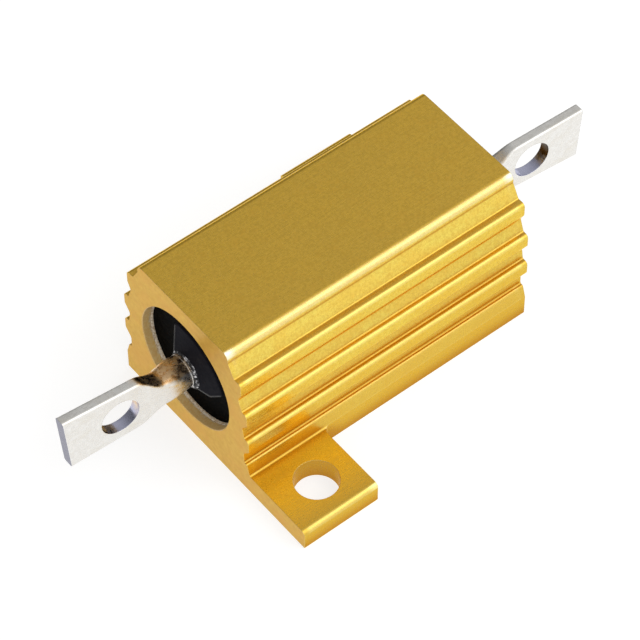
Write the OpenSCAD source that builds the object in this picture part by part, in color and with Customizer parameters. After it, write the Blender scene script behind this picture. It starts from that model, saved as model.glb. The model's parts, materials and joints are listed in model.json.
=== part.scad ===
// Aluminium housed power resistor, chassis mounted, with solder-eye terminals.
// The resistor axis runs along Y and the mounting face lies on Z = 0.
// Everything repeats after half a turn about Z, so each end is made once and turned.

/* [Housing] */
// Length of the housing along the resistor axis
body_len = 19.7; // [19:0.1:22]
// Height of the housing above its mounting face
body_h = 10.55; // [10.45:0.05:11.2]
// Width of the flat top, measured to its sharp corners
top_w = 7.8; // [7.5:0.1:8.1]
// Width of the base block
base_w = 11.05; // [10.9:0.05:11.6]
// Radius that rounds the two long top corners
top_corner_r = 0.45; // [0.2:0.05:0.5]
// Radius of the bore that holds the element
bore_r = 3.85; // [3.7:0.05:3.9]
// Height of the bore axis above the mounting face
axis_h = 5.4; // [5.3:0.05:5.5]

/* [Fins] */
// Number of fins on each side, above the base block
fin_count = 3; // [2:1:3]
// Height of the ledge on top of the base block
base_ledge = 2.23; // [2.1:0.01:2.3]
// Height from the ledge of one fin to the next
fin_pitch = 2.27; // [2.2:0.01:2.3]
// Depth of the hollows between the fins, from the flank that their tips follow
fin_depth = 0.48; // [0.3:0.02:0.5]
// Height of the upright outer face of a fin, with its rounded crest
fin_face_h = 0.9; // [0.75:0.05:1]
// Width of the ledge on a fin, with its rounded crest
ledge_w = 0.4; // [0.36:0.01:0.44]
// Radius of the crest of a fin
crest_r = 0.25; // [0.15:0.01:0.26]

/* [Mounting lugs] */
// Distance over the two lugs
lug_span = 20.6; // [20.2:0.1:21]
// Length of a lug along the resistor axis
lug_len = 5.1; // [4.6:0.1:5.4]
// Thickness of a lug
lug_t = 1.4; // [1.2:0.05:1.5]
// Diameter of a mounting hole
hole_d = 2.6; // [2.2:0.1:2.7]
// Spacing of the mounting holes across the resistor axis
hole_pitch_x = 15.9; // [15.7:0.1:16.1]
// Spacing of the mounting holes along the resistor axis
hole_pitch_y = 14.3; // [14.1:0.1:14.5]

/* [Terminals] */
// Diameter of the round part of a terminal
neck_d = 2; // [1.8:0.05:2.1]
// Distance from the end of the housing to the end of a terminal
term_reach = 8.1; // [7.8:0.1:9]
// Thickness of the flattened blade
blade_t = 0.7; // [0.6:0.05:0.8]
// Height of the front blade where its taper ends
front_blade_h = 3.7; // [3.1:0.1:3.8]
// Height of the rear blade where its taper ends
rear_blade_h = 3.4; // [3.1:0.1:3.8]
// Extra height of the blade at its free end
blade_flare = 0.35; // [0.1:0.05:0.5]
// Angle by which the blade turns away from the resistor axis, seen from above
blade_turn = 3.5; // [0:0.5:4]
// Distance by which the front eye stands off the axis, towards the mounting hole
front_eye_shift = 0.05; // [-0.25:0.05:0.25]
// Distance by which the rear eye stands off the axis, towards the mounting hole
rear_eye_shift = -0.2; // [-0.25:0.05:0.25]
// Diameter of the eye in the blade
eye_d = 2.4; // [2.2:0.05:2.5]
// Distance from the end of the housing to the centre of the eye
eye_reach = 4.6; // [4.5:0.05:4.8]
// Angle of the sheared end of the blade
shear_angle = 4; // [0:0.5:9]

/* [Filler] */
// Depth of the filler below each end of the housing
recess = 0.7; // [0.5:0.05:0.9]
// Outer radius of the fan-shaped boss that stands on the filler
boss_r = 3.5; // [3.3:0.05:3.6]

/* [Element] */
// Length of the ceramic core
core_len = 12; // [11:0.5:13]
// Radius of the ceramic core
core_r = 2; // [1.8:0.1:2.2]
// Thickness of the steel end caps
cap_t = 0.3; // [0.25:0.05:0.4]
// Length of the skirt of an end cap over the core
cap_skirt = 1.3; // [1:0.1:1.6]
// Number of turns of resistance wire
wire_turns = 11; // [8:1:11]

/* [Hidden] */
$fn = 96;

// How far a cutting tool runs past the face that it cuts
past = 1;
half_len = body_len / 2;
half_base = base_w / 2;
half_span = lug_span / 2;
arc_steps = 6;

// Section of the housing
bead_step = 0.05;
bead_drop = 0.5;
flank_lean = 0.0066;
flank_power = 4;
top_ledge_extra = 0.15;
foot_of_fin = 1.45;
inner_fillet = 0.11;
face_round = 0.2;
root_round = 0.3;
shoulder_tip = 0.24;
shoulder_ledge = 0.46;
shoulder_r = 0.14;
lug_fillet = 0.15;
lug_edge_r = 0.35;
foot_edge_r = 0.08;
cutter_r = 0.4;
plan_spare = 0.02;
lug_corner_r = 0.1;
bore_chamfer = 0.04;

// Element and filler
cap_r = core_r + cap_t;
cap_face = core_len / 2 + cap_t;
// The wire lies a little below the skirts of the end caps
wire_r = 0.4 * cap_t;
wire_sides = 8;
wire_steps = 16;
hub_r = 1.08;
hub_round = 0.4;
boss_from = 26;
boss_to = 93;
boss_tip = 0.55;
boss_corner_r = 0.45;
boss_waist = 2.22;
boss_waist_turn = 32.5;
boss_waist_r = 0.6;

// Terminal
neck_r = neck_d / 2;
press_start = 0.4;
press_end = 3.5;
flare_start = 1.8;
press_step = 0.015;
blade_edge_r = 0.16;
edge_steps = 7;
weld_in = 0.1;
ring_step = 0.2;

// ---- Outlines with rounded corners ----

function unit(v) = v / norm(v);
function flip_x(p) = [-p[0], p[1], p[2]];
function turned(p) = [-p[0], -p[1], p[2]];
function reversed(list) = [for (i = [len(list) - 1:-1:0]) list[i]];
function short_turn(a) = a > 180 ? a - 360 : a < -180 ? a + 360 : a;
function angle_of(v) = atan2(v[1], v[0]);

// Arc that rounds the corner at v, on the way from before to after
function corner(before, v, after, r) =
    r == 0 ? [v] :
    let (
        a = unit(before - v),
        b = unit(after - v),
        half = acos(a * b) / 2,
        centre = v + unit(a + b) * r / sin(half),
        first = angle_of(v + a * r / tan(half) - centre),
        last = angle_of(v + b * r / tan(half) - centre),
        turn = short_turn(last - first)
    )
    [for (i = [0:arc_steps]) let (t = first + turn * i / arc_steps) centre + r * [cos(t), sin(t)]];

// Outline through corners given as [x, y, radius]
function rounded(list) =
    let (n = len(list), xy = [for (p = list) [p[0], p[1]]])
    [for (i = [0:n - 1]) each corner(xy[(i + n - 1) % n], xy[i], xy[(i + 1) % n], list[i][2])];

// Faces that join rings of points, each with the same number of sides, into a closed tube
function tube_faces(rings, sides) = concat(
    [[for (j = [0:sides - 1]) j]],
    [for (i = [0:rings - 2], j = [0:sides - 1])
        let (a = i * sides, n = (j + 1) % sides)
        [a + j, a + sides + j, a + sides + n, a + n]],
    [[for (j = [sides - 1:-1:0]) (rings - 1) * sides + j]]);

// ---- Housing ----

// Fin tips follow a flank that leans in towards the top
function ledge_z(k) = base_ledge + fin_pitch * k;
function flank_x(k) = half_base - flank_lean * pow(k, flank_power);
function ledge_back(k) = k == fin_count ? ledge_w + top_ledge_extra : ledge_w;
function root_x(k) = (flank_x(k) + flank_x(k - 1)) / 2 - fin_depth;

// Corners of fin k, from its ledge down to its root
function fin_corners(k) = [
    [flank_x(k) - ledge_back(k), ledge_z(k), inner_fillet],
    [flank_x(k), ledge_z(k), crest_r],
    [flank_x(k), ledge_z(k) - fin_face_h, face_round],
    [root_x(k), ledge_z(k) - foot_of_fin, root_round]
];

// Right-hand side of the section, from the top corner down to the mounting face
side_corners = concat(
    [[top_w / 2, body_h, top_corner_r],
     [top_w / 2 + bead_step, body_h - bead_drop, 0],
     [top_w / 2, body_h - bead_drop - bead_step, 0]],
    [for (k = [fin_count:-1:1]) each fin_corners(k)],
    [[half_base - shoulder_ledge, base_ledge, inner_fillet],
     [half_base - shoulder_tip, base_ledge, shoulder_r],
     [half_base, lug_t, lug_fillet],
     [half_span, lug_t, lug_edge_r],
     [half_span, 0, foot_edge_r]]);

module die_section() {
    polygon(rounded(concat(side_corners, reversed([for (p = side_corners) flip_x(p)]))));
}

// Plan that the milling cutter leaves: two lugs on opposite corners
module milled_plan() {
    lug_back = lug_len - half_len;
    reach = half_len + past;
    lug_end = half_span + plan_spare;
    side = [[half_base, reach, 0],
            [half_base, lug_back, cutter_r],
            [lug_end, lug_back, lug_corner_r],
            [lug_end, -reach, 0]];
    polygon(rounded(concat(side, [for (p = side) turned(p)])));
}

module along_axis(z = axis_h) {
    translate([0, 0, z]) rotate([90, 0, 0]) children();
}

module both_ends() {
    children();
    rotate([0, 0, 180]) children();
}

module bore_edge() {
    translate([0, bore_chamfer - half_len, 0]) along_axis()
        cylinder(h = 2 * bore_chamfer, r1 = bore_r, r2 = bore_r + 2 * bore_chamfer);
}

module mounting_hole() {
    translate([hole_pitch_x / 2, -hole_pitch_y / 2, -past]) cylinder(h = lug_t + 2 * past, d = hole_d);
}

module housing() {
    color("goldenrod") difference() {
        intersection() {
            along_axis(0) linear_extrude(height = body_len, center = true) die_section();
            translate([0, 0, -past]) linear_extrude(height = body_h + 2 * past) milled_plan();
        }
        along_axis() cylinder(h = body_len + 2 * past, r = bore_r, center = true);
        both_ends() bore_edge();
        both_ends() mounting_hole();
    }
}

// ---- Filler moulded round the element ----

// Fan-shaped boss seen from the front, with its hub on the bore axis. Its rim is an arc
// between two directions, and its straight sides run tangent to the terminal's neck.
function polar(r, a) = r * [cos(a), sin(a)];
function with_radius(p, r) = [p[0], p[1], r];
boss_rim_mid = (boss_from + boss_to) / 2;
boss_rim_apex = boss_r / cos((boss_to - boss_from) / 2);
boss_corners = [
    with_radius(polar(hub_r, boss_to + 90), hub_round),
    with_radius(polar(boss_r, boss_to) + polar(boss_tip, boss_to + 90), boss_corner_r),
    with_radius(polar(boss_rim_apex, boss_rim_mid), boss_r),
    with_radius(polar(boss_r, boss_from) + polar(boss_tip, boss_from - 90), boss_corner_r),
    with_radius(polar(boss_waist, boss_from - boss_waist_turn), boss_waist_r),
    with_radius(polar(hub_r, boss_from - 90), hub_round)
];

module boss() {
    translate([0, recess - half_len + weld_in, 0]) along_axis()
        linear_extrude(height = recess + weld_in) polygon(rounded(boss_corners));
}

module moulded_filler() {
    color([0.12, 0.12, 0.13]) difference() {
        union() {
            along_axis() cylinder(h = body_len - 2 * recess, r = bore_r, center = true);
            both_ends() boss();
        }
        along_axis() cylinder(h = 2 * cap_face, r = cap_r, center = true);
        along_axis() cylinder(h = body_len + 2 * past, r = neck_r, center = true);
    }
}

// ---- Element ----

module ceramic_core() {
    color("ivory") along_axis() cylinder(h = core_len, r = core_r, center = true);
}

module end_cap() {
    color("silver") translate([0, -cap_face, 0]) along_axis() mirror([0, 0, 1]) difference() {
        cylinder(h = cap_t + cap_skirt, r = cap_r);
        translate([0, 0, cap_t]) cylinder(h = cap_skirt + past, r = core_r);
    }
}

module front_end_cap() { end_cap(); }
module rear_end_cap() { rotate([0, 0, 180]) end_cap(); }

// Helix of round wire, closed by flat ends; its chords just touch the core
module resistance_winding() {
    helix_r = (core_r + wire_r) / cos(180 / wire_steps);
    run = core_len - 2 * cap_skirt - 2 * wire_r;
    rings = wire_turns * wire_steps;
    points = [for (i = [0:rings], j = [0:wire_sides - 1])
        let (turn = 360 * i / wire_steps, side = 360 * j / wire_sides, r = helix_r + wire_r * cos(side))
        [r * cos(turn), r * sin(turn), run * (i / rings - 1 / 2) + wire_r * sin(side)]];
    color("slategray") along_axis() polyhedron(points, tube_faces(rings + 1, wire_sides), convexity = 10);
}

// ---- Terminals ----

function smooth(t) = t <= 0 ? 0 : t >= 1 ? 1 : t * t * (3 - 2 * t);
function mix(a, b, t) = a + (b - a) * t;

// Sections d from the end of the housing: a circle pressed into a flat blade with round edges.
// The press leaves a faint step where it takes hold of the round wire.
pressed_r = neck_r - press_step;
function pressed(d) = smooth((d - press_start) / (press_end - press_start));
function flattened(d) = smooth((d - flare_start) / (press_end - flare_start));
function half_thick(d) = mix(pressed_r, blade_t / 2, pressed(d));
function half_height(d, h) = mix(pressed_r, h / 2, flattened(d))
    + blade_flare / 2 * max(0, (d - press_end) / (term_reach - press_end));
function edge_r(d) = mix(pressed_r - press_step, blade_edge_r, sqrt(pressed(d)));
function lean(d, shift) = (shift + tan(blade_turn) * (eye_reach - d)) * pressed(d);
function section(d, h, shift) = [for (quarter = [0:3], i = [0:edge_steps])
    let (
        t = 90 * (quarter + i / edge_steps),
        side = [cos(90 * quarter + 45), sin(90 * quarter + 45)] * sqrt(2),
        flat = [half_thick(d) - edge_r(d), half_height(d, h) - edge_r(d)]
    )
    [lean(d, shift) + side[0] * flat[0] + edge_r(d) * cos(t), -d, side[1] * flat[1] + edge_r(d) * sin(t)]];

module pressed_blade(h, shift) {
    stations = concat([for (d = [weld_in:ring_step:press_end]) d], [press_end, term_reach + past]);
    faces = tube_faces(len(stations), 4 * (edge_steps + 1));
    polyhedron([for (d = stations) each section(d, h, shift)], faces, convexity = 4);
}

module terminal(h, shift) {
    color("gainsboro") translate([0, 0, axis_h]) difference() {
        union() {
            translate([0, -cap_face, 0]) rotate([90, 0, 0])
                cylinder(h = half_len - cap_face + press_start / 2, r = neck_r);
            translate([0, -half_len, 0]) pressed_blade(h, shift);
        }
        translate([shift, -half_len - eye_reach, 0]) rotate([0, 90, -blade_turn])
            cylinder(h = 4 * blade_t, d = eye_d, center = true);
        translate([0, -half_len - term_reach, h / 2]) rotate([shear_angle, 0, 0])
            translate([-past, -4 * past, -2 * h]) cube([2 * past, 4 * past, 3 * h]);
    }
}

module front_terminal() { terminal(front_blade_h, front_eye_shift); }
module rear_terminal() { rotate([0, 0, 180]) terminal(rear_blade_h, rear_eye_shift); }

housing();
moulded_filler();
ceramic_core();
resistance_winding();
front_end_cap();
rear_end_cap();
front_terminal();
rear_terminal();
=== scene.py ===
"""Looks for the aluminium housed power resistor.

Materials, two small forms of dried resin at each end, floor, lights and camera.
"""

import json
import math
import random

import bmesh
import bpy
from mathutils import Matrix, Vector


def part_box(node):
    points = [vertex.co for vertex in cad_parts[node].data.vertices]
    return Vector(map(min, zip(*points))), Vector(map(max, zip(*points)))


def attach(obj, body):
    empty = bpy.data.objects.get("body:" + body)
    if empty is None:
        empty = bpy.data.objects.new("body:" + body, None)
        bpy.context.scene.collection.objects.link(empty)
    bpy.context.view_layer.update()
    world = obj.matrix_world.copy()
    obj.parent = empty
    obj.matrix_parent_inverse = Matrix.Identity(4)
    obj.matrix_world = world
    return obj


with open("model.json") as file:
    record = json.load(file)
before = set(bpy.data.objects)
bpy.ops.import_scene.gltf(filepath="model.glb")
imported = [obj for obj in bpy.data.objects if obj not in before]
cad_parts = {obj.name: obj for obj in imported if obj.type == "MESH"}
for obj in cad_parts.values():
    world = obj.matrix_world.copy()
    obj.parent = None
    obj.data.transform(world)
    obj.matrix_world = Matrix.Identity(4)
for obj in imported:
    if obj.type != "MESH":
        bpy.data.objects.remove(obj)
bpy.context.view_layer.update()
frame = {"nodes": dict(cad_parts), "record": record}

MM = 0.001

# Places read from the frame
_, housing_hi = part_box("housing")
filler_lo, filler_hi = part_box("moulded_filler")
half_length = housing_hi.y
top_height = housing_hi.z
axis_height = (filler_lo.z + filler_hi.z) / 2
bore_radius = (filler_hi.z - filler_lo.z) / 2
eyes = {m["name"]: Vector(m["pos_m"]) for m in frame["record"]["mounts"] if m["kind"] == "bore"}
eyes_past_end = max(eye.y for eye in eyes.values()) - half_length

# Sizes that the frame's boxes don't give
recess = 0.7 * MM
neck_radius = 1.0 * MM
eye_radius = 1.2 * MM
hole_radius = 1.3 * MM
hole_place = (7.95 * MM, -7.15 * MM, 0)
bead_height = top_height - 0.58 * MM


# ---- Node helpers ----

class Tree:
    """A node tree with short calls.

    A value given for a socket may be a number, a colour or another socket.
    """

    def __init__(self, tree):
        self.tree = tree
        tree.nodes.clear()

    def node(self, kind, sockets=None, **settings):
        made = self.tree.nodes.new("ShaderNode" + kind)
        for key, value in settings.items():
            setattr(made, key, value)
        for key, value in (sockets or {}).items():
            self.feed(made.inputs[key], value)
        return made

    def feed(self, socket, value):
        if isinstance(value, bpy.types.NodeSocket):
            self.tree.links.new(value, socket)
        else:
            socket.default_value = value

    def maths(self, operation, *values):
        made = self.node("Math", operation=operation)
        for socket, value in zip(made.inputs, values):
            self.feed(socket, value)
        return made.outputs[0]

    def vector(self, operation, *values):
        made = self.node("VectorMath", operation=operation)
        for socket, value in zip(made.inputs, values):
            self.feed(socket, value)
        gives_number = operation in ("DOT_PRODUCT", "DISTANCE")
        return made.outputs["Value" if gives_number else "Vector"]

    def ramp(self, value, low, high, out_low=0.0, out_high=1.0, smooth=True):
        made = self.node("MapRange", {"Value": value, "From Min": low, "From Max": high,
                                      "To Min": out_low, "To Max": out_high}, clamp=True)
        made.interpolation_type = "SMOOTHSTEP" if smooth else "LINEAR"
        return made.outputs["Result"]

    def mix(self, factor, a, b):
        made = self.node("Mix", data_type="RGBA")
        self.feed(made.inputs["Factor"], factor)
        self.feed(made.inputs[6], a)
        self.feed(made.inputs[7], b)
        return made.outputs[2]

    def scale(self, colour, factor):
        made = self.node("VectorMath", operation="SCALE")
        self.feed(made.inputs[0], colour)
        self.feed(made.inputs["Scale"], factor)
        return made.outputs["Vector"]

    def noise(self, coords, stretch, detail=3.0, rough=0.55):
        """Noise whose cells are 1 / stretch long on each axis, in the units of coords."""
        placed = self.node("Mapping", {"Vector": coords, "Scale": stretch})
        return self.node("TexNoise", {"Vector": placed.outputs[0], "Scale": 1.0,
                                      "Detail": detail, "Roughness": rough}).outputs["Fac"]

    def bump(self, height, strength, distance, normal=None):
        sockets = {"Height": height, "Strength": strength, "Distance": distance}
        if normal is not None:
            sockets["Normal"] = normal
        return self.node("Bump", sockets).outputs[0]


class Surface(Tree):
    """A material with one Principled shader, and object coordinates in millimetres."""

    def __init__(self, name, **constants):
        self.material = bpy.data.materials.new(name)
        self.material.use_nodes = True
        super().__init__(self.material.node_tree)
        self.shader = self.node("BsdfPrincipled")
        output = self.node("OutputMaterial")
        self.tree.links.new(self.shader.outputs[0], output.inputs["Surface"])
        for key, value in constants.items():
            self.shader.inputs[key.replace("_", " ")].default_value = value
        place = self.node("TexCoord").outputs["Object"]
        self.place = self.scale(place, 1 / MM)
        parts = self.node("SeparateXYZ", {"Vector": self.place})
        self.x, self.y, self.z = parts.outputs
        self.normal = self.node("NewGeometry").outputs["Normal"]

    def set(self, **values):
        for key, value in values.items():
            self.feed(self.shader.inputs[key.replace("_", " ")], value)
        return self.material

    def facing(self, axis):
        """How far the surface faces along an axis, either way: 1 straight along it, 0 across it."""
        return self.maths("ABSOLUTE", self.vector("DOT_PRODUCT", self.normal, axis))

    def round_edge(self, radius):
        """Normal with the sharp edges rounded, and how much it turned."""
        rounded = self.node("Bevel", {"Radius": radius}, samples=6).outputs[0]
        turned = self.maths("SUBTRACT", 1.0, self.vector("DOT_PRODUCT", rounded, self.normal))
        return rounded, turned

    def along(self, axis):
        """How far the surface faces along an axis: 1 straight along it, -1 straight against it."""
        return self.vector("DOT_PRODUCT", self.normal, axis)

    def hollow(self, distance, low, high):
        """1 in hollows and inner corners of about this size, 0 where the surface lies open."""
        open_share = self.node("AmbientOcclusion", {"Distance": distance}, samples=8).outputs["AO"]
        return self.ramp(open_share, low, high, 1.0, 0.0)

    def crest(self, distance, low, high):
        """1 on outer corners and crests of about this size, 0 on flats."""
        occlusion = self.node("AmbientOcclusion", {"Distance": distance}, samples=8, inside=True)
        solid_share = occlusion.outputs["AO"]
        return self.ramp(solid_share, low, high, 1.0, 0.0)

    def from_axis(self):
        """Distance from the resistor axis, in millimetres."""
        level = self.maths("SUBTRACT", self.z, axis_height / MM)
        return self.maths("SQRT", self.maths("ADD", self.maths("MULTIPLY", self.x, self.x),
                                             self.maths("MULTIPLY", level, level)))

    def depth_in_end(self):
        """Distance inwards from the nearer end of the housing, in millimetres."""
        return self.maths("SUBTRACT", half_length / MM, self.maths("ABSOLUTE", self.y))


# ---- Materials ----

# Side on which the edges of the front boss get a painted pale highlight
BOSS_HIGHLIGHT_SIDE = Vector((-0.75, 0, -1.6))
# Middle of the press mark: narrowed x, and distance past the end, in millimetres
PRESS_MARK = (0.02, 3.15, 0)
# Past the eye by this many millimetres, only the cut end of a blade faces outwards
SHEARED_FROM = 2.5


def gold_anodised():
    """Dyed extrusion: grained sides, etched ends, and casting resin on the bore wall, with painted shade and
    painted highlights.
    """
    s = Surface("gold_anodised", Coat_Weight=0.25, Coat_Roughness=0.15, Coat_IOR=1.5,
                Specular_Tint=(0.95, 0.72, 0.30, 1))
    rounded, turned = s.round_edge(0.05 * MM)
    die_lines = s.noise(s.place, (16, 0.3, 16), detail=4)
    grain = s.noise(s.place, (6, 6, 6), detail=4, rough=0.75)
    cloud = s.noise(s.place, (0.7, 0.35, 0.7), detail=3)
    mottle = s.noise(s.place, (2.6, 2.0, 2.6), detail=4, rough=0.65)
    pores = s.noise(s.place, (3.5, 3.5, 3.5), detail=4, rough=0.65)
    end = s.maths("MULTIPLY", s.ramp(s.facing((0, 1, 0)), 0.8, 0.95), s.ramp(s.depth_in_end(), 0.06, 0.02))
    edge = s.ramp(turned, 0.02, 0.16, 0, 0.5)
    level = s.along((0, 0, 1))
    top = top_height / MM

    # Painted light: faces turned upwards get a darker, more orange copy of the side colour.
    dye_and_painted_light = s.mix(s.ramp(level, 0.6, 0.95), (0.82, 0.64, 0.112, 1), (0.81, 0.51, 0.072, 1))
    dye_and_painted_light = s.mix(s.ramp(cloud, 0.35, 0.65, 0, 0.5), dye_and_painted_light, (0.84, 0.52, 0.066, 1))
    dye_and_painted_light = s.mix(s.ramp(mottle, 0.5, 0.75, 0, 0.35), dye_and_painted_light, (0.76, 0.42, 0.045, 1))
    dye_and_painted_light = s.mix(s.ramp(grain, 0.40, 0.62, 0, 0.45), dye_and_painted_light, (0.58, 0.37, 0.045, 1))
    # Painted shade: darker towards the base.
    dye_and_painted_light = s.mix(s.ramp(s.z, 7.5, 0.5, 0, 0.75), dye_and_painted_light, (0.64, 0.40, 0.050, 1))
    # Painted shade: a deeper orange in hollows and inner corners, in the mounting holes and under the bead.
    shaded = s.maths("MAXIMUM", s.hollow(1.5 * MM, 0.45, 0.98), s.maths("MAXIMUM", in_hole(s), under_bead(s)))
    dye_and_painted_light = s.mix(s.maths("MULTIPLY", shaded, s.ramp(level, -0.5, -0.1)), dye_and_painted_light, (0.46, 0.20, 0.012, 1))
    # Painted light: faces turned downwards made lighter.
    dye_and_painted_light = s.mix(s.ramp(level, -0.02, -0.2, 0, 0.8), dye_and_painted_light, (0.94, 0.80, 0.24, 1))
    # Painted highlight: crests and long corners of one side near-white gold, whiter near the top.
    corner_highlight_tone = s.mix(s.ramp(s.z, top - 1.05, top - 0.65), (0.92, 0.77, 0.27, 1), (0.97, 0.91, 0.64, 1))
    dye_and_painted_light = s.mix(painted_corner_highlight(s), dye_and_painted_light, corner_highlight_tone)
    # Painted highlight: sharp edges lighter.
    dye_and_painted_light = s.mix(edge, dye_and_painted_light, (0.92, 0.78, 0.34, 1))
    etched = s.mix(s.ramp(pores, 0.3, 0.7), (0.66, 0.42, 0.105, 1), (0.73, 0.50, 0.135, 1))
    etched = s.mix(s.ramp(cloud, 0.4, 0.7, 0, 0.6), etched, (0.72, 0.42, 0.12, 1))
    colour, coated = bore_residue(s, s.mix(end, dye_and_painted_light, etched))

    roughness = s.maths("ADD", s.ramp(mottle, 0.3, 0.7, 0.24, 0.32), s.maths("MULTIPLY", end, 0.22))
    relief = s.maths("ADD", s.maths("MULTIPLY", die_lines, s.maths("SUBTRACT", 1.0, end)),
                     s.maths("MULTIPLY", pores, end))
    relief = s.maths("ADD", relief, s.maths("MULTIPLY", grain, 0.8))
    return s.set(Base_Color=colour, Roughness=s.maths("ADD", roughness, s.maths("MULTIPLY", coated, 0.3)),
                 Metallic=s.maths("SUBTRACT", 1.0, coated), Normal=s.bump(relief, 0.35, 0.02 * MM, rounded))


def painted_corner_highlight(s):
    """Crests and long corners of one side, lightened by a painted highlight."""
    top = top_height / MM
    slant = s.along((0, 0, 1))
    slanted = s.maths("MULTIPLY", s.ramp(slant, 0.12, 0.4), s.ramp(slant, 0.99, 0.93))
    inwards = s.maths("MAXIMUM", s.ramp(s.depth_in_end(), 0.2, 0.7), s.ramp(s.z, top - 0.6, top - 0.5))
    outer = s.maths("MULTIPLY", inwards, s.ramp(s.x, 0, 1))
    return s.maths("MULTIPLY", s.maths("MULTIPLY", slanted, outer), s.crest(0.7 * MM, 0.60, 0.92))


def under_bead(s):
    """How much painted shade darkens a thin line under the bead along each top corner."""
    off = s.maths("ABSOLUTE", s.maths("SUBTRACT", s.z, bead_height / MM))
    return s.maths("MULTIPLY", s.ramp(off, 0.09, 0.03, 0, 0.7), s.ramp(s.facing((1, 0, 0)), 0.5, 0.7))


def in_hole(s):
    """How much painted shade darkens the wall of either mounting hole."""
    plan = s.vector("MULTIPLY", s.place, (1, 1, 0))
    radius = hole_radius / MM
    inside = None
    for turn in (1, -1):
        centre = tuple(turn * v / MM for v in hole_place)
        near = s.ramp(s.vector("DISTANCE", plan, centre), radius + 0.04, radius + 0.02, 0, 0.6)
        inside = near if inside is None else s.maths("MAXIMUM", inside, near)
    return s.maths("MULTIPLY", inside, s.ramp(s.along((0, 0, 1)), 0.5, 0.2))


def bore_residue(s, colour):
    """Colour with casting resin on the bore wall, and how much covers the metal."""
    in_bore = s.maths("MULTIPLY", s.ramp(s.from_axis(), bore_radius / MM + 0.07, bore_radius / MM + 0.05),
                      s.ramp(s.facing((0, 1, 0)), 0.9, 0.8))
    patch = s.noise(s.place, (1.6, 1.6, 1.6), detail=4, rough=0.7)
    grit = s.noise(s.place, (8, 8, 8), detail=3)
    film = s.mix(s.ramp(grit, 0.35, 0.65), (0.95, 0.62, 0.23, 1), (1.0, 0.72, 0.31, 1))
    crust = s.mix(s.ramp(grit, 0.35, 0.65), (0.80, 0.58, 0.32, 1), (0.98, 0.84, 0.60, 1))
    depth = s.maths("ADD", s.depth_in_end(), s.maths("MULTIPLY", s.maths("SUBTRACT", patch, 0.5), 0.8))
    film = s.mix(s.ramp(depth, recess / MM - 0.30, recess / MM - 0.10), film, crust)
    return s.mix(in_bore, colour, film), in_bore


def tinned():
    """Tin on brass, with its bare, sooty and sheared places, and painted highlights on its edges."""
    s = Surface("tinned_brass", Metallic=1.0)
    rounded, turned = s.round_edge(0.05 * MM)
    lumps = s.noise(s.place, (1.1, 0.6, 1.1), detail=3)
    skin = s.noise(s.place, (4, 4, 4), detail=4, rough=0.6)
    stain = s.noise(s.place, (1.6, 0.8, 1.6), detail=3)
    tin = s.mix(s.ramp(skin, 0.3, 0.7), (0.76, 0.74, 0.70, 1), (0.83, 0.82, 0.79, 1))
    tin = s.mix(s.ramp(stain, 0.45, 0.8, 0, 0.4), tin, (0.72, 0.67, 0.56, 1))
    tin = s.mix(in_eye(s), tin, (0.52, 0.53, 0.68, 1))
    bare = bare_neck(s, stain)
    tin = s.mix(bare, tin, s.mix(s.ramp(skin, 0.35, 0.6), (0.80, 0.54, 0.31, 1), (1.0, 0.78, 0.52, 1)))
    film = s.maths("MULTIPLY", resin_film(s, skin), s.ramp(bare, 0, 1, 0.3, 1))
    tin = s.mix(film, tin, (0.06, 0.057, 0.055, 1))
    tin = s.mix(smudge(s, stain), tin, (0.02, 0.02, 0.022, 1))
    tin = s.mix(eye_soot(s, stain), tin, (0.07, 0.04, 0.012, 1))
    tin = s.mix(sheared_end(s), tin, s.mix(skin, (0.10, 0.10, 0.15, 1), (0.30, 0.30, 0.38, 1)))
    # Painted highlight: sharp edges near-white.
    tin = s.mix(s.ramp(turned, 0.02, 0.2, 0, 0.8), tin, (0.97, 0.97, 0.97, 1))
    relief = s.maths("ADD", lumps, s.maths("MULTIPLY", skin, 0.25))
    return s.set(Base_Color=tin, Roughness=s.ramp(skin, 0.3, 0.7, 0.22, 0.36),
                 Normal=s.bump(relief, 0.3, 0.08 * MM, rounded))


def past_end(s):
    """Distance outwards from the nearer end of the housing, in millimetres."""
    return s.maths("SUBTRACT", s.maths("ABSOLUTE", s.y), half_length / MM)


def on_front(s):
    """1 on the front half of the part, 0 on the rear half."""
    return s.ramp(s.y, 1, -1)


def bare_neck(s, stain):
    """Brass that the tin didn't wet, on the round part of the front neck."""
    along = s.maths("ADD", past_end(s), s.maths("MULTIPLY", stain, 1.2))
    bare = s.maths("MULTIPLY", s.ramp(along, 4.4, 3.6), s.ramp(s.facing((1, 0, 0)), 0.82, 0.66))
    return s.maths("MULTIPLY", bare, on_front(s))


def resin_film(s, skin):
    """Thin dark film where a neck leaves the resin."""
    along = s.maths("ADD", past_end(s), s.maths("MULTIPLY", skin, 2.4))
    return s.ramp(along, 1.60, 1.00, 0, 0.6)


def smudge(s, stain):
    """Dark mark left on top of the front neck by the press."""
    flat = s.node("CombineXYZ", {"X": s.maths("MULTIPLY", s.x, 0.7), "Y": past_end(s)}).outputs[0]
    spot = s.maths("ADD", s.vector("DISTANCE", flat, PRESS_MARK), s.maths("MULTIPLY", stain, 0.15))
    on_top = s.maths("MULTIPLY", s.ramp(s.along((0, 0, 1)), 0.3, 0.6), on_front(s))
    return s.maths("MULTIPLY", s.ramp(spot, 0.36, 0.14), on_top)


def in_eye(s):
    """1 on the wall of either eye."""
    inside = None
    for eye in eyes.values():
        away = s.vector("DISTANCE", s.place, tuple(v / MM for v in eye))
        near = s.ramp(away, eye_radius / MM + 0.25, eye_radius / MM + 0.15)
        inside = near if inside is None else s.maths("MAXIMUM", inside, near)
    return s.maths("MULTIPLY", inside, s.ramp(s.facing((1, 0, 0)), 0.6, 0.3))


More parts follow.
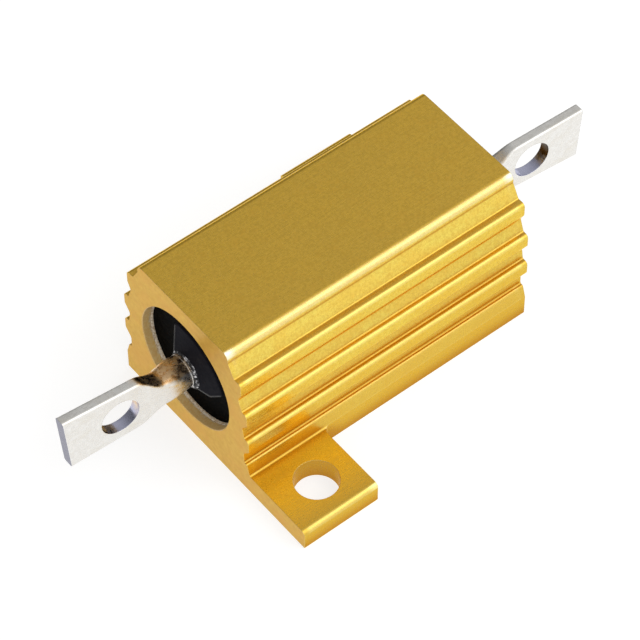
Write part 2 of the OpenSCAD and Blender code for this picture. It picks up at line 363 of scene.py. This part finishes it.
def eye_soot(s, stain):
    """Dark flux left on the wall of each eye, at its outer end."""
    rim = (eyes_past_end + eye_radius) / MM
    outer = s.ramp(s.maths("ADD", past_end(s), stain), rim + 0.15, rim + 0.4)
    return s.maths("MULTIPLY", outer, in_eye(s))


def sheared_end(s):
    """1 on the end of a blade, where the shears cut through the tin."""
    start = eyes_past_end / MM + SHEARED_FROM
    return s.maths("MULTIPLY", s.ramp(past_end(s), start, start + 0.1),
                   s.ramp(s.facing((0, 1, 0)), 0.8, 0.9))


def black_resin():
    """Moulded filler, greyer on the raised boss than in the recess, where painted shade darkens it, with a
    painted highlight along the boss's edges on one side.
    """
    s = Surface("black_resin", Specular_IOR_Level=0.008)
    rounded, _ = s.round_edge(0.2 * MM)
    swirl = s.noise(s.place, (1.2, 1.2, 1.2), detail=4)
    pits = s.noise(s.place, (9, 9, 9), detail=3)
    raised = s.ramp(s.depth_in_end(), recess / MM * 0.5, recess / MM * 0.1)
    boss_edge_highlight = s.ramp(s.vector("DOT_PRODUCT", rounded, tuple(BOSS_HIGHLIGHT_SIDE)), 0.02, 0.30)
    # Painted shade: the recess much darker than the raised boss.
    colour = s.mix(raised, (0.0012, 0.0014, 0.0016, 1), (0.0125, 0.0125, 0.0170, 1))
    cloudy = s.maths("MULTIPLY", s.ramp(swirl, 0.5, 0.8, 0, 0.6), raised)
    colour = s.mix(cloudy, colour, (0.024, 0.025, 0.029, 1))
    # Painted highlight: pale band on the boss's edges that face one side.
    colour = s.mix(s.maths("MULTIPLY", boss_edge_highlight, raised), colour, (0.19, 0.19, 0.185, 1))
    relief = s.maths("ADD", swirl, s.maths("MULTIPLY", pits, 0.3))
    return s.set(Base_Color=colour, Roughness=s.ramp(pits, 0.3, 0.7, 0.42, 0.6),
                 Normal=s.bump(relief, 0.4, 0.06 * MM, rounded))


def resin_crust():
    """Pale dried resin, along the foot of the bore wall."""
    s = Surface("resin_crust", Specular_IOR_Level=0.2)
    flecks = s.noise(s.place, (5, 5, 5), detail=3, rough=0.7)
    colour = s.mix(s.ramp(flecks, 0.36, 0.58), (0.62, 0.46, 0.28, 1), (0.92, 0.82, 0.66, 1))
    return s.set(Base_Color=colour, Roughness=s.ramp(flecks, 0.4, 0.6, 0.7, 0.45),
                 Normal=s.bump(flecks, 0.6, 0.08 * MM))


def rough_resin():
    """Resin drawn up round each neck, with bright flecks painted as glints."""
    s = Surface("rough_resin", Specular_IOR_Level=0.3)
    flecks = s.noise(s.place, (3.4, 3.4, 3.4), detail=3, rough=0.7)
    fine = s.noise(s.place, (10, 10, 10), detail=2)
    colour = s.mix(s.ramp(flecks, 0.45, 0.58), (0.012, 0.012, 0.013, 1), (0.14, 0.14, 0.15, 1))
    # Painted glints: bright white flecks.
    colour = s.mix(s.ramp(flecks, 0.55, 0.63), colour, (0.85, 0.85, 0.87, 1))
    return s.set(Base_Color=colour, Roughness=s.ramp(flecks, 0.5, 0.6, 0.65, 0.3),
                 Normal=s.bump(s.maths("ADD", flecks, fine), 0.6, 0.08 * MM))


def plain_inside(name, dark, light, metallic, rough, cell):
    """Material of a piece sealed inside the filler."""
    s = Surface(name, Metallic=metallic)
    grain = s.noise(s.place, (cell, cell, cell), detail=3)
    return s.set(Base_Color=s.mix(grain, dark, light), Roughness=s.ramp(grain, 0.3, 0.7, rough, rough + 0.15),
                 Normal=s.bump(grain, 0.3, 0.03 * MM))


# ---- Pieces ----

# Edges sharper than this stay crisp
CRISP_ANGLE = math.radians(28)


def finish_node(name, material):
    """Gives a CAD node its material, with smooth curves and crisp edges."""
    node = frame["nodes"][name]
    node.data.materials.clear()
    node.data.materials.append(material)
    for face in node.data.polygons:
        face.use_smooth = True
        face.material_index = 0
    weld = node.modifiers.new("weld", "WELD")
    weld.merge_threshold = 0.0005 * MM
    split = node.modifiers.new("edges", "EDGE_SPLIT")
    split.split_angle = CRISP_ANGLE
    node.modifiers.new("flats", "WEIGHTED_NORMAL")


def add_piece(name, bm, material):
    """Turns a bmesh into a piece that rides on the only body."""
    mesh = bpy.data.meshes.new(name)
    bm.to_mesh(mesh)
    bm.free()
    for face in mesh.polygons:
        face.use_smooth = True
    mesh.materials.append(material)
    piece = bpy.data.objects.new(name, mesh)
    bpy.context.scene.collection.objects.link(piece)
    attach(piece, "root")
    return piece


def wavy(seed, terms):
    """Smooth closed curve of random waves round a circle, between -1 and 1."""
    chance = random.Random(seed)
    waves = [(n, chance.uniform(0.3, 1) / math.sqrt(n), chance.uniform(0, math.tau)) for n in terms]
    total = sum(size for _, size, _ in waves)
    return lambda t: sum(size * math.sin(n * t + phase) for n, size, phase in waves) / total


def ring(name, end, section, count, material):
    """Closed ring round the resistor axis. section(t) gives (radius, depth) points at angle t."""
    bm = bmesh.new()
    loops = []
    for i in range(count):
        t = math.tau * i / count
        loop = []
        for radius, depth in section(t):
            across, up = -end * radius * math.cos(t), axis_height + radius * math.sin(t)
            loop.append(bm.verts.new((across, end * (half_length - depth), up)))
        loops.append(loop)
    for i in range(count):
        here, there = loops[i], loops[(i + 1) % count]
        for j in range(len(here)):
            k = (j + 1) % len(here)
            bm.faces.new((here[j], here[k], there[k], there[j]))
    bmesh.ops.recalc_face_normals(bm, faces=bm.faces)
    return add_piece(name, bm, material)


def meniscus(name, end, seed, material):
    """Crust with a ragged edge at the foot of the bore wall, widest on the lower left seen from outside."""
    climb, reach = wavy(seed, range(3, 60, 4)), wavy(seed + 1, range(5, 70, 5))
    deep = 0.02 * MM

    def section(t):
        lean = 0.5 + 0.5 * math.cos(t - math.radians(250))
        top = recess - (0.05 + 0.16 * lean + 0.05 * climb(t)) * MM
        inner = bore_radius - (0.035 + 0.035 * lean + 0.03 * reach(t)) * MM
        wall = bore_radius - 0.012 * MM
        middle = ((inner + wall) / 2, (top + recess) / 2)
        return [(inner, recess + deep), (inner, recess - deep), middle, (wall, top), (wall, recess + deep)]

    return ring(name, end, section, 240, material)


def neck_ring(name, end, seed, material):
    """Rough resin drawn up round the neck of a terminal, widest on the right seen from outside."""
    lump, rim = wavy(seed, range(5, 60, 4)), wavy(seed + 1, range(3, 40, 4))

    def section(t):
        side = 0.5 + 0.5 * math.cos(t - math.radians(10))
        outer = neck_radius + (0.12 + 0.18 * side + 0.06 * rim(t)) * MM
        height = (0.05 + 0.08 * side + 0.04 * lump(t)) * MM
        inner = neck_radius - 0.01 * MM
        middle = (inner + outer) / 2
        return [(inner, 0.15 * MM), (inner, -height), (middle, -height * 0.9),
                (outer, 0.02 * MM), (outer, 0.15 * MM)]

    return ring(name, end, section, 180, material)


def build_pieces():
    resin, crust, resin_with_glints = black_resin(), resin_crust(), rough_resin()
    finish_node("housing", gold_anodised())
    finish_node("moulded_filler", resin)
    tin = tinned()
    steel = plain_inside("plated_steel", (0.45, 0.45, 0.46, 1), (0.62, 0.62, 0.63, 1),
                         metallic=1.0, rough=0.25, cell=5)
    for side in ("front", "rear"):
        finish_node(side + "_terminal", tin)
        finish_node(side + "_end_cap", steel)
    ceramic = plain_inside("white_ceramic", (0.70, 0.68, 0.62, 1), (0.82, 0.81, 0.77, 1),
                           metallic=0.0, rough=0.5, cell=4)
    finish_node("ceramic_core", ceramic)
    wire = plain_inside("resistance_wire", (0.24, 0.25, 0.27, 1), (0.36, 0.36, 0.37, 1),
                        metallic=1.0, rough=0.3, cell=9)
    finish_node("resistance_winding", wire)
    for side, end, seed in (("front", -1, 11), ("rear", 1, 23)):
        meniscus(side + "_meniscus", end, seed, crust)
        neck_ring(side + "_neck_ring", end, seed + 5, resin_with_glints)


# ---- Floor, lights and camera ----

CAMERA_AZIMUTH = 51.5
CAMERA_ELEVATION = 52.35
CAMERA_ROLL = 0.3
CAMERA_DISTANCE = 180.1 * MM
CAMERA_LENS = 183.75
AIM_RIGHT = -0.41 * MM
AIM_UP = -2.12 * MM
AIM_HEIGHT = 5.175 * MM


def direction(azimuth, elevation):
    """Unit vector towards a place round the object, with azimuth 0 in front of it and 90 on its +X side."""
    a, e = math.radians(azimuth), math.radians(elevation)
    return Vector((math.sin(a) * math.cos(e), -math.cos(a) * math.cos(e), math.sin(e)))


def add_camera():
    back = direction(CAMERA_AZIMUTH, CAMERA_ELEVATION)
    right = Vector((0, 0, 1)).cross(back).normalized()
    up = back.cross(right)
    turn = Matrix.Rotation(-math.radians(CAMERA_ROLL), 3, back)
    right, up = turn @ right, turn @ up
    camera = bpy.data.cameras.new("camera")
    camera.sensor_width = 36
    camera.lens = CAMERA_LENS
    camera.clip_start, camera.clip_end = 0.01, 10
    holder = bpy.data.objects.new("camera", camera)
    place = Vector((0, 0, AIM_HEIGHT)) + right * AIM_RIGHT + up * AIM_UP + back * CAMERA_DISTANCE
    holder.matrix_world = Matrix.Translation(place) @ Matrix((right, up, back)).transposed().to_4x4()
    bpy.context.scene.collection.objects.link(holder)
    bpy.context.scene.camera = holder


def add_softbox(name, azimuth, elevation, distance, width, height, radiance):
    light = bpy.data.lights.new(name, "AREA")
    light.shape = "RECTANGLE"
    light.size, light.size_y = width, height
    light.energy = math.pi * radiance * width * height
    holder = bpy.data.objects.new(name, light)
    towards = direction(azimuth, elevation)
    holder.location = towards * distance
    holder.rotation_mode = "QUATERNION"
    holder.rotation_quaternion = towards.to_track_quat("Z", "Y")
    bpy.context.scene.collection.objects.link(holder)


# What the floor gives back of the light on it, and the glow that makes it white
FLOOR_SHADOW = 0.42
FLOOR_GLOW = 0.74


def whiten(s):
    """Shows the floor white, with a faint shadow, to the camera and in mirrored and refracted light."""
    output = s.tree.nodes["Material Output"]
    rays = s.node("LightPath").outputs
    mirrored = s.maths("MAXIMUM", rays["Is Glossy Ray"], rays["Is Transmission Ray"])
    seen = s.maths("MAXIMUM", rays["Is Camera Ray"], mirrored)
    shown = s.node("AddShader")
    shadowed = s.node("BsdfDiffuse", {"Color": (FLOOR_SHADOW, FLOOR_SHADOW, FLOOR_SHADOW, 1)})
    white = s.node("Emission", {"Strength": FLOOR_GLOW})
    s.tree.links.new(shadowed.outputs[0], shown.inputs[0])
    s.tree.links.new(white.outputs[0], shown.inputs[1])
    choice = s.node("MixShader", {"Fac": seen})
    s.tree.links.new(s.shader.outputs[0], choice.inputs[1])
    s.tree.links.new(shown.outputs[0], choice.inputs[2])
    s.tree.links.new(choice.outputs[0], output.inputs["Surface"])


def add_floor():
    bm = bmesh.new()
    bmesh.ops.create_grid(bm, x_segments=8, y_segments=8, size=3)
    mesh = bpy.data.meshes.new("floor")
    bm.to_mesh(mesh)
    bm.free()
    s = Surface("floor")
    speck = s.noise(s.place, (0.02, 0.02, 0.02), detail=2)
    s.set(Base_Color=s.mix(speck, (0.90, 0.90, 0.90, 1), (0.92, 0.92, 0.92, 1)), Roughness=0.9)
    s.shader.inputs["Specular IOR Level"].default_value = 0.0
    whiten(s)
    mesh.materials.append(s.material)
    floor = bpy.data.objects.new("floor", mesh)
    floor.location.z = -0.02 * MM
    bpy.context.scene.collection.objects.link(floor)


# Strength of the studio's bright and dim sides
BRIGHT_SIDE = Vector((0.87, 0.38, 0.30)).normalized()
BRIGHTEST = 1.22
DIMMEST = 0.08


def add_world():
    """Studio that is bright on one side and dim on the other."""
    world = bpy.data.worlds.new("studio")
    bpy.context.scene.world = world
    world.use_nodes = True
    t = Tree(world.node_tree)
    towards = t.vector("DOT_PRODUCT", t.node("TexCoord").outputs["Generated"], tuple(BRIGHT_SIDE))
    glow = t.ramp(towards, -0.8, 1.0, DIMMEST, BRIGHTEST, smooth=False)
    sky = t.node("Background", {"Color": (1, 1, 1, 1), "Strength": glow})
    output = t.node("OutputWorld")
    t.tree.links.new(sky.outputs[0], output.inputs["Surface"])


def build_stage():
    add_world()
    add_floor()
    add_softbox("key", azimuth=124, elevation=47, distance=0.6, width=0.40, height=0.40, radiance=0.9)
    add_camera()
    bpy.context.scene.view_settings.view_transform = "Standard"


build_pieces()
build_stage()
